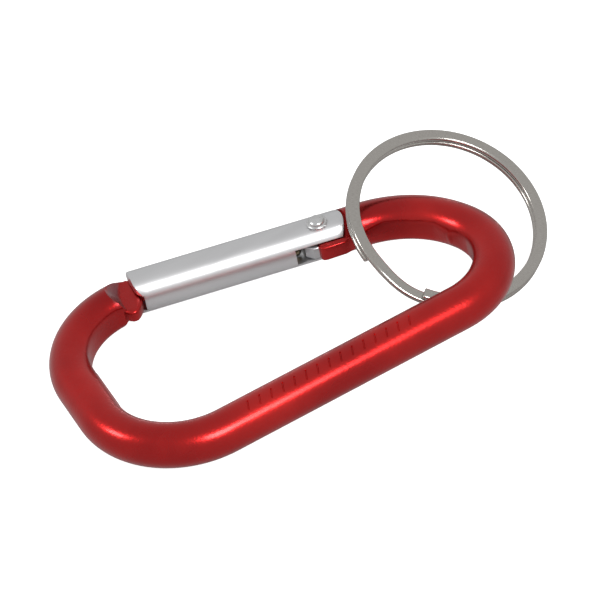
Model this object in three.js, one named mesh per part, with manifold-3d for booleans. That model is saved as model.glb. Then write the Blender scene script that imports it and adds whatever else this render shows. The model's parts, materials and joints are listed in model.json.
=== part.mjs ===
// A small accessory carabiner with a split key ring, in millimetres with +Z up.
// The body lies level with its spine along +X and its gate towards +Y.
// The origin is below the middle of the whole keyring, at the height of its lowest point.
import * as THREE from 'three';
import { mergeVertices } from 'three/addons/utils/BufferGeometryUtils.js';
import Module from 'manifold-3d';

const wasm = await Module();
wasm.setup();

// ---- Driving dimensions, in millimetres and degrees ----

// The rod is bent round an outline with four corners: two on the spine, one at the nose, one at the hinge.
const ROD_DIAMETER = 5.7;
const SPINE_LENGTH = 59.45;
const NOSE_RISE = 31.65;
const NOSE_LEAN = 2.1;
const HINGE_RISE = 19.8;
const HINGE_LEAN = 7.9;
const NOSE_BEND = 11;
const SPINE_NOSE_BEND = 11.45;
const SPINE_HINGE_BEND = 9.2;
const END_STRAIGHT = 0.3;
const NOSE_STRAIGHT = 0.1;
const HINGE_STRAIGHT = 5.5;

// The gate is a bored rod that turns on the rivet, slotted at both ends.
const GATE_DIAMETER = 5.7;
const GATE_TOE_OUT = 1.85;
const PIVOT_INSET = 0.27;
const GATE_AXIS_OUTSET = 0.45;
const GATE_TAIL_RADIUS = 3.4;
const SLOT_HEIGHT = 2.4;
const NOSE_SLOT_DEPTH = 4.6;
const NOSE_WEB_SETBACK = 1.1;
const NOSE_WEB_THICKNESS = 1.4;
const HINGE_SLOT_REACH = 3.75;
const BORE_DIAMETER = 3.4;
const BORE_END_WALL = 2.5;

// The rod's ends are pressed flat: a pad and a tongue at the nose, a knuckle and a shoulder at the hinge.
const NOSE_FLAT_LENGTH = 2.7;
const NOSE_PAD_BULGE = 1.2;
const NOSE_PAD_CORNER = 1.3;
const HINGE_PAD_BULGE = 0.3;
const KNUCKLE_RADIUS = 2.5;
const CAM_CORNER_RADIUS = 2.9;
const CAM_NECK_INSET = 0.5;

const RIVET_DIAMETER = 1.5;
const RIVET_HEAD_DIAMETER = 2.6;
const RIVET_HEAD_HEIGHT = 0.75;

const PLUNGER_LENGTH = 3.2;
const PLUNGER_TIP_CHAMFER = 0.5;
const SPRING_WIRE = 0.42;
const SPRING_TURNS = 8;

// The split ring is one flattened wire, wound twice, that lies over the limb and under the spine.
const RING_DIAMETER = 26.4;
const RING_WIRE_WIDTH = 1.6;
const RING_WIRE_THICKNESS = 0.87;
const RING_CENTRE_INSET = 6;
const RING_CENTRE_RISE = 14.9;
const RING_OVER_LIMB_INSET = 7.3;
const RING_UNDER_SPINE_INSET = 6.55;
const RING_UNDER_SPINE_RISE = 3;
const RING_HEADING = -66.2;
const RING_UPPER_END = 222;
const RING_WOUND_ANGLE = 681;
const RING_STEP_START = 545;
const RING_STEP_ANGLE = 34;

// Clearances: pieces that touch, pieces that run in each other, the ring's layers and the ring's crossing.
const TOUCH_GAP = 0.3;
const RUNNING_GAP = 0.1;
const LAYER_GAP = 0.1;
const RING_CROSSING_GAP = 0.9;

// Fineness of the faceted surfaces.
const ROD_SIDES = 16;
const ROD_STEPS = 96;
const GATE_SIDES = 32;
const PIN_SIDES = 24;
const WIRE_SIDES = 8;
const RING_STEPS = 112;
const SPRING_STEPS_PER_TURN = 12;

const SOLID_MARGIN = 2;

// ---- Sizes that follow from the driving dimensions ----

const rodRadius = ROD_DIAMETER / 2;
const gateRadius = GATE_DIAMETER / 2;
const boreRadius = BORE_DIAMETER / 2;
const rivetRadius = RIVET_DIAMETER / 2;
const plungerRadius = boreRadius - RUNNING_GAP * 2;
const springRadius = boreRadius - RUNNING_GAP * 2.5 - SPRING_WIRE / 2;
const tongueThickness = SLOT_HEIGHT - 2 * TOUCH_GAP;
const ringRadius = RING_DIAMETER / 2;
const ringLayerRise = (RING_WIRE_THICKNESS + LAYER_GAP) / 2;
const ringHalfHeight = ringLayerRise + RING_WIRE_THICKNESS / 2;

const noseCorner = new THREE.Vector2(NOSE_LEAN, NOSE_RISE);
const spineNoseCorner = new THREE.Vector2(0, 0);
const spineHingeCorner = new THREE.Vector2(SPINE_LENGTH, 0);
const hingeCorner = new THREE.Vector2(SPINE_LENGTH - HINGE_LEAN, HINGE_RISE);

// The tangent of half the angle between the two sides that meet at a corner.
function halfCornerTangent(before, corner, after) {
  const toBefore = before.clone().sub(corner).normalize();
  const toAfter = after.clone().sub(corner).normalize();
  return Math.tan(Math.acos(toBefore.dot(toAfter)) / 2);
}

// How far from a corner a bend of this radius begins.
function bendSetback(before, corner, after, radius) {
  return radius / halfCornerTangent(before, corner, after);
}

// The bend at the hinge corner takes up what the bend at the spine leaves of the hinge end.
const hingeEndLength = hingeCorner.distanceTo(spineHingeCorner);
const spineHingeSetback = bendSetback(spineNoseCorner, spineHingeCorner, hingeCorner, SPINE_HINGE_BEND);
const hingeSetback = hingeEndLength - spineHingeSetback - END_STRAIGHT;
const hingeBend = hingeSetback * halfCornerTangent(noseCorner, hingeCorner, spineHingeCorner);

// The limb is the straight side from the nose corner to the hinge corner, where the gate lies.
const limb = hingeCorner.clone().sub(noseCorner);
const limbAngle = limb.angle() - 2 * Math.PI;
const limbLength = limb.length();
const alongLimb = limb.clone().normalize();
const outOfLimb = new THREE.Vector2(-alongLimb.y, alongLimb.x);
const noseEnd = bendSetback(hingeCorner, noseCorner, spineNoseCorner, NOSE_BEND) + NOSE_STRAIGHT;
const pivotAlongLimb = limbLength - hingeSetback - HINGE_STRAIGHT;
const gateReach = pivotAlongLimb - noseEnd;
const gateAngle = limbAngle - THREE.MathUtils.degToRad(GATE_TOE_OUT);
const shoulderRadius = GATE_TAIL_RADIUS + TOUCH_GAP + RUNNING_GAP;

function pointOnLimb(along, outward) {
  return noseCorner.clone().addScaledVector(alongLimb, along).addScaledVector(outOfLimb, outward);
}
const pivot = pointOnLimb(pivotAlongLimb, -PIVOT_INSET);

// ---- Geometry helpers ----

function toSolid(geometry) {
  const bare = geometry.index ? geometry.toNonIndexed() : geometry.clone();
  bare.deleteAttribute('normal');
  bare.deleteAttribute('uv');
  const merged = mergeVertices(bare, 1e-4);
  const vertProperties = Float32Array.from(merged.attributes.position.array);
  const triVerts = Uint32Array.from(merged.index.array);
  return new wasm.Manifold(new wasm.Mesh({ numProp: 3, vertProperties, triVerts }));
}

function toGeometry(solid) {
  const mesh = solid.getMesh();
  const geometry = new THREE.BufferGeometry();
  geometry.setAttribute('position', new THREE.BufferAttribute(Float32Array.from(mesh.vertProperties), 3));
  geometry.setIndex(new THREE.BufferAttribute(Uint32Array.from(mesh.triVerts), 1));
  const flat = geometry.toNonIndexed();
  flat.computeVertexNormals();
  return flat;
}

// A plan outline made into a plate between two heights.
function plate(shape, low, high) {
  const geometry = new THREE.ExtrudeGeometry(shape, { depth: high - low, bevelEnabled: false, curveSegments: 8 });
  return geometry.translate(0, 0, low);
}

function box(lowX, highX, lowY, highY, lowZ, highZ) {
  const geometry = new THREE.BoxGeometry(highX - lowX, highY - lowY, highZ - lowZ);
  return geometry.translate((lowX + highX) / 2, (lowY + highY) / 2, (lowZ + highZ) / 2);
}

function pin(radius, low, high) {
  const geometry = new THREE.CylinderGeometry(radius, radius, high - low, PIN_SIDES);
  return geometry.rotateX(Math.PI / 2).translate(0, 0, (low + high) / 2);
}

// A bar along X, between two places on it.
function bar(radius, low, high, sides) {
  const geometry = new THREE.CylinderGeometry(radius, radius, high - low, sides);
  return geometry.rotateY(Math.PI / sides).rotateZ(Math.PI / 2).translate((low + high) / 2, 0, 0);
}

function polygonShape(points) {
  return new THREE.Shape(points.map(([x, y]) => new THREE.Vector2(x, y)));
}

// A round section with a flat facet towards +X, -X, +Y and -Y.
function roundSection(radius, sides) {
  const points = [];
  for (let i = 0; i < sides; i += 1) {
    const angle = ((i + 0.5) * 2 * Math.PI) / sides;
    points.push([radius * Math.cos(angle), radius * Math.sin(angle)]);
  }
  return polygonShape(points);
}

// A rectangle with rounded corners, given by its limits.
function roundedRectangle(lowX, highX, lowY, highY, corner) {
  const shape = new THREE.Shape();
  shape.moveTo(lowX + corner, lowY);
  shape.lineTo(highX - corner, lowY);
  shape.absarc(highX - corner, lowY + corner, corner, -Math.PI / 2, 0);
  shape.lineTo(highX, highY - corner);
  shape.absarc(highX - corner, highY - corner, corner, 0, Math.PI / 2);
  shape.lineTo(lowX + corner, highY);
  shape.absarc(lowX + corner, highY - corner, corner, Math.PI / 2, Math.PI);
  shape.lineTo(lowX, lowY + corner);
  shape.absarc(lowX + corner, lowY + corner, corner, Math.PI, Math.PI * 1.5);
  return shape;
}

// A level line of straights joined by round bends, measured along its own length.
class BentLine extends THREE.Curve {
  constructor(points, radii) {
    super();
    this.pieces = [];
    let from = points[0];
    for (let i = 1; i < points.length - 1; i += 1) {
      const toBefore = points[i - 1].clone().sub(points[i]).normalize();
      const toAfter = points[i + 1].clone().sub(points[i]).normalize();
      const setback = bendSetback(points[i - 1], points[i], points[i + 1], radii[i - 1]);
      const start = points[i].clone().addScaledVector(toBefore, setback);
      const end = points[i].clone().addScaledVector(toAfter, setback);
      this.addStraight(from, start);
      this.addBend(start, end, toBefore, toAfter, radii[i - 1]);
      from = end;
    }
    this.addStraight(from, points[points.length - 1]);
    this.span = this.pieces.reduce((sum, piece) => sum + piece.length, 0);
  }

  addStraight(from, to) {
    const at = (t) => from.clone().lerp(to, t);
    this.pieces.push({ length: from.distanceTo(to), at });
  }

  addBend(start, end, toBefore, toAfter, radius) {
    const side = Math.sign(toBefore.cross(toAfter));
    const inward = new THREE.Vector2(-toBefore.y, toBefore.x).multiplyScalar(side * radius);
    const centre = start.clone().add(inward);
    const firstAngle = Math.atan2(start.y - centre.y, start.x - centre.x);
    const turn = -side * (Math.PI - Math.acos(toBefore.dot(toAfter)));
    const at = (t) => {
      const angle = firstAngle + turn * t;
      return centre.clone().add(new THREE.Vector2(Math.cos(angle), Math.sin(angle)).multiplyScalar(radius));
    };
    this.pieces.push({ length: Math.abs(turn) * radius, at });
  }

  getPoint(t, target = new THREE.Vector3()) {
    let distance = t * this.span;
    let piece = this.pieces[0];
    for (const next of this.pieces) {
      piece = next;
      if (distance <= piece.length) break;
      if (next !== this.pieces[this.pieces.length - 1]) distance -= piece.length;
    }
    const point = piece.at(Math.min(distance / piece.length, 1));
    return target.set(point.x, point.y, 0);
  }
}

// One turn after another round +Z, from one angle on, with a height for each angle.
class WoundLine extends THREE.Curve {
  constructor(radius, firstAngle, woundAngle, heightAt) {
    super();
    Object.assign(this, { radius, firstAngle, woundAngle, heightAt });
  }

  getPoint(t, target = new THREE.Vector3()) {
    const angle = this.firstAngle + this.woundAngle * t;
    const turned = THREE.MathUtils.degToRad(angle);
    return target.set(this.radius * Math.cos(turned), this.radius * Math.sin(turned), this.heightAt(angle));
  }
}

function sweep(shape, curve, steps) {
  return new THREE.ExtrudeGeometry(shape, { extrudePath: curve, steps, bevelEnabled: false });
}

// ---- Materials ----

const redAnodised = { color: 0xb3141d, roughness: 0.3, metalness: 0.85 };
const satinAluminium = { color: 0xc9c9cb, roughness: 0.38, metalness: 1 };
const brightAluminium = { color: 0xb9b9b8, roughness: 0.3, metalness: 1 };
const springSteel = { color: 0x8f8f90, roughness: 0.35, metalness: 1 };
const turnedBrass = { color: 0xb39a5c, roughness: 0.4, metalness: 1 };
const nickelPlatedSteel = { color: 0xa9a39d, roughness: 0.28, metalness: 1 };

function namedMesh(name, geometry, look) {
  const mesh = new THREE.Mesh(geometry, new THREE.MeshStandardMaterial(look));
  mesh.name = name;
  return mesh;
}

// ---- Frames ----

// The gate's frame has its origin on the pivot, +X towards the tail and +Y out of the carabiner.
const gateFrame = new THREE.Group();
gateFrame.position.set(pivot.x, pivot.y, 0);
gateFrame.rotation.z = gateAngle;
gateFrame.updateMatrixWorld();

// The limb's frame has its origin on the nose corner and +X towards the hinge corner.
const limbFrame = new THREE.Group();
limbFrame.position.set(noseCorner.x, noseCorner.y, 0);
limbFrame.rotation.z = limbAngle;
limbFrame.updateMatrixWorld();

function fromGate(geometry) {
  return geometry.applyMatrix4(gateFrame.matrixWorld);
}

function fromLimb(geometry) {
  return geometry.applyMatrix4(limbFrame.matrixWorld);
}

// ---- Body: one bent rod with pressed ends ----

function tongueSolid(shape, place) {
  return toSolid(place(plate(shape, -tongueThickness / 2, tongueThickness / 2)));
}

// Everything above and below the tongue's thickness, inside a plan outline.
function flatCuts(shape, place) {
  const reach = rodRadius + SOLID_MARGIN;
  const above = toSolid(place(plate(shape, tongueThickness / 2, reach)));
  const below = toSolid(place(plate(shape, -reach, -tongueThickness / 2)));
  return above.add(below);
}

function nosePadShape() {
  const start = noseEnd - NOSE_FLAT_LENGTH - NOSE_PAD_CORNER;
  const end = noseEnd + NOSE_WEB_SETBACK - TOUCH_GAP - RUNNING_GAP;
  return roundedRectangle(start, end, -rodRadius - NOSE_PAD_BULGE, rodRadius, NOSE_PAD_CORNER);
}

function noseTongueShape() {
  const webTop = -gateRadius + NOSE_WEB_THICKNESS + GATE_AXIS_OUTSET;
  const start = -gateReach - NOSE_PAD_CORNER;
  const end = -gateReach + NOSE_SLOT_DEPTH - 2 * TOUCH_GAP;
  const outer = GATE_AXIS_OUTSET + gateRadius - 2 * TOUCH_GAP;
  return roundedRectangle(start, end, webTop + TOUCH_GAP, outer, NOSE_PAD_CORNER / 2);
}

function noseFlatShape() {
  const reach = rodRadius + NOSE_PAD_BULGE + SOLID_MARGIN;
  const start = noseEnd - NOSE_FLAT_LENGTH;
  return polygonShape([[start, -reach], [start + 2 * reach, -reach], [start + 2 * reach, reach], [start, reach]]);
}

// The knuckle is round, with a flat facing the plunger and a corner that pushes it back as the gate opens.
function knuckleShape() {
  const camAngle = Math.acos(KNUCKLE_RADIUS / CAM_CORNER_RADIUS);
  const shape = new THREE.Shape();
  const tail = shoulderRadius + rodRadius;
  const inner = PIVOT_INSET - rodRadius - HINGE_PAD_BULGE;
  const corner = CAM_CORNER_RADIUS * Math.sin(camAngle);
  shape.moveTo(tail, KNUCKLE_RADIUS);
  shape.lineTo(0, KNUCKLE_RADIUS);
  shape.absarc(0, 0, KNUCKLE_RADIUS, Math.PI / 2, Math.PI);
  shape.lineTo(-KNUCKLE_RADIUS, -corner);
  shape.lineTo(-corner, -KNUCKLE_RADIUS);
  shape.lineTo(-CAM_NECK_INSET, -KNUCKLE_RADIUS);
  shape.lineTo(0, inner);
  shape.lineTo(shoulderRadius, inner);
  shape.lineTo(tail, 0);
  return shape;
}

function shoulderCutShape() {
  return new THREE.Shape().absarc(0, 0, shoulderRadius, 0, 2 * Math.PI);
}

function bodyGeometry() {
  const rodEnd = pivotAlongLimb + rivetRadius * 2;
  const outline = new BentLine(
    [pointOnLimb(noseEnd, 0), noseCorner, spineNoseCorner, spineHingeCorner, hingeCorner, pointOnLimb(rodEnd, 0)],
    [NOSE_BEND, SPINE_NOSE_BEND, SPINE_HINGE_BEND, hingeBend],
  );
  let body = toSolid(sweep(roundSection(rodRadius, ROD_SIDES), outline, ROD_STEPS));
  body = body.subtract(flatCuts(noseFlatShape(), fromLimb));
  body = body.subtract(flatCuts(shoulderCutShape(), fromGate));
  body = body.add(tongueSolid(nosePadShape(), fromLimb));
  body = body.add(tongueSolid(noseTongueShape(), fromGate));
  body = body.add(tongueSolid(knuckleShape(), fromGate));
  const hole = fromGate(pin(rivetRadius + RUNNING_GAP, -rodRadius, rodRadius));
  return toGeometry(body.subtract(toSolid(hole)));
}

// ---- Gate: a bored rod with ears at both ends ----

function gatePlanShape() {
  const side = gateRadius + SOLID_MARGIN;
  const shape = new THREE.Shape();
  shape.moveTo(-gateReach, -side);
  shape.lineTo(0, -side);
  shape.lineTo(0, -GATE_TAIL_RADIUS);
  shape.absarc(0, 0, GATE_TAIL_RADIUS, -Math.PI / 2, Math.PI / 2);
  shape.lineTo(0, side);
  shape.lineTo(-gateReach, side);
  return shape;
}

function gateGeometry() {
  const side = gateRadius + SOLID_MARGIN;
  const halfSlot = SLOT_HEIGHT / 2;
  const tube = bar(gateRadius, -gateReach, GATE_TAIL_RADIUS, GATE_SIDES).translate(0, GATE_AXIS_OUTSET, 0);
  const boreStart = -gateReach + NOSE_SLOT_DEPTH + BORE_END_WALL;
  const bore = bar(boreRadius, boreStart, -KNUCKLE_RADIUS, PIN_SIDES).translate(0, GATE_AXIS_OUTSET, 0);
  const webTop = GATE_AXIS_OUTSET - gateRadius + NOSE_WEB_THICKNESS;
  const noseSlotEnd = -gateReach + NOSE_SLOT_DEPTH;
  const noseSlot = box(-gateReach - SOLID_MARGIN, noseSlotEnd, webTop, side, -halfSlot, halfSlot);
  const webTrimEnd = -gateReach + NOSE_WEB_SETBACK;
  const webTrim = box(-gateReach - SOLID_MARGIN, webTrimEnd, -side, side, -halfSlot, halfSlot);
  const tailEnd = GATE_TAIL_RADIUS + SOLID_MARGIN;
  const hingeSlot = box(-HINGE_SLOT_REACH, tailEnd, -side, side, -halfSlot, halfSlot);
  const hole = pin(rivetRadius + RUNNING_GAP, -side, side);
  let gate = toSolid(tube).intersect(toSolid(plate(gatePlanShape(), -side, side)));
  for (const cut of [bore, noseSlot, webTrim, hingeSlot, hole]) {
    gate = gate.subtract(toSolid(cut));
  }
  return toGeometry(gate);
}

// ---- Rivet: a plain shaft with a low dome at each end ----

function rivetGeometry() {
  const underHead = gateRadius + RUNNING_GAP;
  const headRadius = RIVET_HEAD_DIAMETER / 2;
  const domeSteps = 5;
  const upper = [];
  for (let i = 0; i <= domeSteps; i += 1) {
    const angle = (i / domeSteps) * (Math.PI / 2);
    const radius = i === domeSteps ? 0 : headRadius * Math.cos(angle);
    upper.push(new THREE.Vector2(radius, underHead + RIVET_HEAD_HEIGHT * Math.sin(angle)));
  }
  const lower = upper.map((point) => new THREE.Vector2(point.x, -point.y)).reverse();
  const shaft = [new THREE.Vector2(rivetRadius, -underHead), new THREE.Vector2(rivetRadius, underHead)];
  return new THREE.LatheGeometry([...lower, ...shaft, ...upper], PIN_SIDES).rotateX(Math.PI / 2);
}

// ---- Plunger and spring: they lie in the gate's bore and keep the gate shut ----

const plungerFront = -KNUCKLE_RADIUS - TOUCH_GAP;
const plungerBack = plungerFront - PLUNGER_LENGTH;
const springBack = -gateReach + NOSE_SLOT_DEPTH + BORE_END_WALL + RUNNING_GAP;

function plungerGeometry() {
  const profile = [
    new THREE.Vector2(0, plungerBack),
    new THREE.Vector2(plungerRadius, plungerBack),
    new THREE.Vector2(plungerRadius, plungerFront - PLUNGER_TIP_CHAMFER),
    new THREE.Vector2(plungerRadius - PLUNGER_TIP_CHAMFER, plungerFront),
    new THREE.Vector2(0, plungerFront),
  ];
  const turned = new THREE.LatheGeometry(profile, PIN_SIDES);
  return turned.rotateZ(-Math.PI / 2).translate(0, GATE_AXIS_OUTSET, 0);
}

function springGeometry() {
  const low = springBack + SPRING_WIRE / 2;
  const high = plungerBack - RUNNING_GAP - SPRING_WIRE / 2;
  const wound = SPRING_TURNS * 360;
  const line = new WoundLine(springRadius, 0, wound, (angle) => low + ((high - low) * angle) / wound);
  const coil = sweep(roundSection(SPRING_WIRE / 2, WIRE_SIDES), line, SPRING_TURNS * SPRING_STEPS_PER_TURN);
  return coil.rotateY(Math.PI / 2).translate(0, GATE_AXIS_OUTSET, 0);
}

// ---- Split ring: two turns of flattened wire with a step from one layer to the other ----

// The ring's plane passes under the spine and over the limb at the same distance from both centrelines.
const ringReach = rodRadius + ringHalfHeight + RING_CROSSING_GAP;
const heading = THREE.MathUtils.degToRad(RING_HEADING);
const underSpine = new THREE.Vector3(SPINE_LENGTH - RING_UNDER_SPINE_INSET, RING_UNDER_SPINE_RISE, 0);
const overLimbX = hingeCorner.x - RING_OVER_LIMB_INSET;
const overLimbY = noseCorner.y + ((overLimbX - noseCorner.x) * limb.y) / limb.x;
const overLimb = new THREE.Vector3(overLimbX, overLimbY, 0);
const levelAway = new THREE.Vector3(Math.cos(heading), Math.sin(heading), 0);
const ringLean = Math.asin((2 * ringReach) / underSpine.clone().sub(overLimb).dot(levelAway));
const ringNormal = levelAway.clone().multiplyScalar(Math.sin(ringLean)).setZ(Math.cos(ringLean));
const ringCentre = new THREE.Vector3(SPINE_LENGTH - RING_CENTRE_INSET, RING_CENTRE_RISE, 0);
ringCentre.z = (ringNormal.dot(underSpine) - ringReach - ringNormal.dot(ringCentre)) / ringNormal.z;

function ringHeight(angle) {
  const share = THREE.MathUtils.clamp((angle - RING_STEP_START) / RING_STEP_ANGLE, 0, 1);
  return ringLayerRise * Math.cos(share * Math.PI);
}

function ringGeometry() {
  const width = RING_WIRE_WIDTH / 2;
  const thickness = RING_WIRE_THICKNESS / 2;
  const edge = RING_WIRE_THICKNESS / 4;
  const section = polygonShape([
    [-thickness + edge, -width], [thickness - edge, -width], [thickness, -width + edge], [thickness, width - edge],
    [thickness - edge, width], [-thickness + edge, width], [-thickness, width - edge], [-thickness, -width + edge],
  ]);
  const line = new WoundLine(ringRadius - width, RING_UPPER_END, RING_WOUND_ANGLE, ringHeight);
  return sweep(section, line, RING_STEPS);
}

// ---- Assembly ----

const carabiner = new THREE.Group();
carabiner.add(namedMesh('carabiner_body', bodyGeometry(), redAnodised));

const gateAssembly = new THREE.Group();
gateAssembly.position.copy(gateFrame.position);
gateAssembly.rotation.copy(gateFrame.rotation);
gateAssembly.add(namedMesh('gate', gateGeometry(), satinAluminium));
gateAssembly.add(namedMesh('hinge_rivet', rivetGeometry(), brightAluminium));
gateAssembly.add(namedMesh('gate_plunger', plungerGeometry(), turnedBrass));
gateAssembly.add(namedMesh('gate_spring', springGeometry(), springSteel));
carabiner.add(gateAssembly);

// The ring's own X lies level with the body's X and its Z is the ring's axis.
const ringAcross = new THREE.Vector3().crossVectors(ringNormal, new THREE.Vector3(1, 0, 0)).normalize();
const ringAlong = new THREE.Vector3().crossVectors(ringAcross, ringNormal);
const splitRing = namedMesh('split_ring', ringGeometry(), nickelPlatedSteel);
splitRing.position.copy(ringCentre);
splitRing.quaternion.setFromRotationMatrix(new THREE.Matrix4().makeBasis(ringAlong, ringAcross, ringNormal));
carabiner.add(splitRing);

// Put the origin under the middle of the whole keyring.
const extent = new THREE.Box3().setFromObject(carabiner, true);
const middle = extent.getCenter(new THREE.Vector3());
carabiner.position.set(-middle.x, -middle.y, -extent.min.z);
const keyring = new THREE.Group();
keyring.add(carabiner);

export default keyring;
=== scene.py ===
import json
import math

import bmesh
import bpy
from mathutils import Matrix, Vector

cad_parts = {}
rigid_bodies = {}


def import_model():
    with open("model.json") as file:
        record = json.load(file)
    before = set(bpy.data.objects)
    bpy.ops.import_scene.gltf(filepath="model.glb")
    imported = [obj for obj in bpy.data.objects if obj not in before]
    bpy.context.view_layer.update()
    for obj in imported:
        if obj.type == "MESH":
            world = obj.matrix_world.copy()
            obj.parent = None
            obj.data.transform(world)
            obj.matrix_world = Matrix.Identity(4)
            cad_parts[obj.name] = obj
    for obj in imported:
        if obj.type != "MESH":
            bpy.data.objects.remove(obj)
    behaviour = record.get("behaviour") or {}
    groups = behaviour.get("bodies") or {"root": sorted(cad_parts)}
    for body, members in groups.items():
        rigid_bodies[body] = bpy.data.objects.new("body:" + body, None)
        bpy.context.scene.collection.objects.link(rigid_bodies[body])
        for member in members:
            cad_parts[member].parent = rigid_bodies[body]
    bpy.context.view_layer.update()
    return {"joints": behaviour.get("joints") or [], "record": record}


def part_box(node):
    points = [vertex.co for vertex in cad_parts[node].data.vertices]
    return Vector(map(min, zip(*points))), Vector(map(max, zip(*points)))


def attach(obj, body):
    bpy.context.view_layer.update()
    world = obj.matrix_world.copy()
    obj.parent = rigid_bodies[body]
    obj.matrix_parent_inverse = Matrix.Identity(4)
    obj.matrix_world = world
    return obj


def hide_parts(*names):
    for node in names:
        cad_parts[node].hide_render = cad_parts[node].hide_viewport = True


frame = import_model()

# ---- Studio ----
# A long lens looks down at the keyring from the front left, with the camera rolled a little.
# The keyring lies on a plain white floor, touching it with the ring and with the nose end of its body.

MM = 0.001
mounts = {mount["name"]: mount for mount in frame["record"]["mounts"]}
joints = {joint["name"]: joint for joint in frame["joints"]}
SPINE_SEAT_ALONG = 28
spine_rest = Vector(mounts["spine_rest"]["pos_m"])
strap_seat = Vector(mounts["strap_seat"]["pos_m"])
spine_corner = Vector((spine_rest.x - SPINE_SEAT_ALONG * MM, spine_rest.y, strap_seat.z))


def at_spine(x, y, z):
    """A place given in millimetres from the nose end's corner of the spine, in the row frame."""
    return spine_corner + Vector((x, y, z)) * MM


def direction(azimuth, elevation):
    a, e = math.radians(azimuth), math.radians(elevation)
    return Vector((math.sin(a) * math.cos(e), -math.cos(a) * math.cos(e), math.sin(e)))


def aim(towards_viewer, roll=0.0):
    """A rotation whose -Z looks against towards_viewer, with level X before it is rolled."""
    right = Vector((0, 0, 1)).cross(towards_viewer).normalized()
    upward = towards_viewer.cross(right)
    turned = Matrix((right, upward, towards_viewer)).transposed()
    return turned.to_4x4() @ Matrix.Rotation(math.radians(roll), 4, "Z")


CAMERA_AZIMUTH = -22.24
CAMERA_ELEVATION = 42
CAMERA_ROLL = -12.15
CAMERA_DISTANCE = 0.4832
aim_point = at_spine(31.05, 14.36, 0)
camera_data = bpy.data.cameras.new("camera")
camera_data.sensor_width = 36
camera_data.lens = 229.8
camera_data.clip_start = 0.01
camera = bpy.data.objects.new("camera", camera_data)
bpy.context.scene.collection.objects.link(camera)
camera_back = direction(CAMERA_AZIMUTH, CAMERA_ELEVATION)
camera_place = aim_point + camera_back * CAMERA_DISTANCE
camera.matrix_world = Matrix.Translation(camera_place) @ aim(camera_back, CAMERA_ROLL)
bpy.context.scene.camera = camera
bpy.context.scene.view_settings.view_transform = "Standard"


def softbox(name, azimuth, elevation, distance, width, height, watts, turn=0.0):
    lamp = bpy.data.lights.new(name, "AREA")
    lamp.shape = "RECTANGLE"
    lamp.size = width
    lamp.size_y = height
    lamp.energy = watts
    box = bpy.data.objects.new(name, lamp)
    bpy.context.scene.collection.objects.link(box)
    towards = direction(azimuth, elevation)
    box.matrix_world = Matrix.Translation(aim_point + towards * distance) @ aim(towards, turn)
    return box


softbox("front_softbox", 4, 46, 0.6, 0.24, 0.18, 1.5)
softbox("left_softbox", -111, 40, 0.6, 0.12, 0.12, 0.5)

world = bpy.data.worlds.new("studio_surround")
world.use_nodes = True
bpy.context.scene.world = world
world_nodes = world.node_tree.nodes
world_nodes["Background"].inputs["Color"].default_value = (1, 1, 1, 1)
world_nodes["Background"].inputs["Strength"].default_value = 0.56
seen_directly = world_nodes.new("ShaderNodeBackground")
seen_directly.inputs["Color"].default_value = (1, 1, 1, 1)
seen_directly.inputs["Strength"].default_value = 1.0
which_ray = world_nodes.new("ShaderNodeLightPath")
world_mix = world_nodes.new("ShaderNodeMixShader")
world.node_tree.links.new(which_ray.outputs["Is Camera Ray"], world_mix.inputs["Fac"])
world.node_tree.links.new(world_nodes["Background"].outputs[0], world_mix.inputs[1])
world.node_tree.links.new(seen_directly.outputs[0], world_mix.inputs[2])
world.node_tree.links.new(world_mix.outputs[0], world_nodes["World Output"].inputs["Surface"])


def finish_object(name, mesh, material=None):
    piece = bpy.data.objects.new(name, mesh)
    bpy.context.scene.collection.objects.link(piece)
    if material is not None:
        mesh.materials.clear()
        mesh.materials.append(material)
    return piece


def principled(name):
    """A material with its Principled shader, and short ways to add and link nodes."""
    material = bpy.data.materials.new(name)
    material.use_nodes = True
    nodes = material.node_tree.nodes
    return material, nodes, material.node_tree.links, nodes["Principled BSDF"]


floor_material, floor_nodes, floor_links, floor_shader = principled("white_paper")
floor_shader.inputs["Base Color"].default_value = (0.9, 0.9, 0.9, 1)
floor_shader.inputs["Roughness"].default_value = 0.9
floor_shader.inputs["Emission Color"].default_value = (1, 1, 1, 1)
floor_shader.inputs["Emission Strength"].default_value = 0.86
floor_seen_in_gloss = floor_nodes.new("ShaderNodeBsdfDiffuse")
floor_seen_in_gloss.inputs["Color"].default_value = (0.55, 0.55, 0.55, 1)
floor_ray = floor_nodes.new("ShaderNodeLightPath")
floor_mix = floor_nodes.new("ShaderNodeMixShader")
floor_links.new(floor_ray.outputs["Is Camera Ray"], floor_mix.inputs["Fac"])
floor_links.new(floor_seen_in_gloss.outputs[0], floor_mix.inputs[1])
floor_links.new(floor_shader.outputs[0], floor_mix.inputs[2])
floor_links.new(floor_mix.outputs[0], floor_nodes["Material Output"].inputs["Surface"])
ring_low, ring_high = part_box("split_ring")
body_low, body_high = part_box("carabiner_body")
touch_ring = Vector((ring_high.x - 8.5 * MM, ring_low.y + 2.5 * MM, ring_low.z))
touch_nose = Vector((body_low.x + 14 * MM, body_high.y - 2 * MM, body_low.z))
touch_spine = Vector((body_low.x + 1 * MM, body_low.y + 14 * MM, body_low.z))
floor_up = (touch_nose - touch_ring).cross(touch_spine - touch_ring).normalized()
if floor_up.z < 0:
    floor_up = -floor_up
lowest = min(floor_up.dot(piece.matrix_world @ corner.co)
             for piece in bpy.data.objects if piece.type == "MESH" for corner in piece.data.vertices)
FLOOR_CLEARANCE = 0.1
floor_middle = touch_ring + floor_up * (lowest - floor_up.dot(touch_ring) - FLOOR_CLEARANCE * MM)
FLOOR_HALF = 3.0
floor_mesh = bpy.data.meshes.new("floor")
across = floor_up.cross(Vector((0, 1, 0))).normalized()
along = floor_up.cross(across)
corners = [floor_middle + (across * i + along * j) * FLOOR_HALF
           for i, j in ((-1, -1), (1, -1), (1, 1), (-1, 1))]
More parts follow.
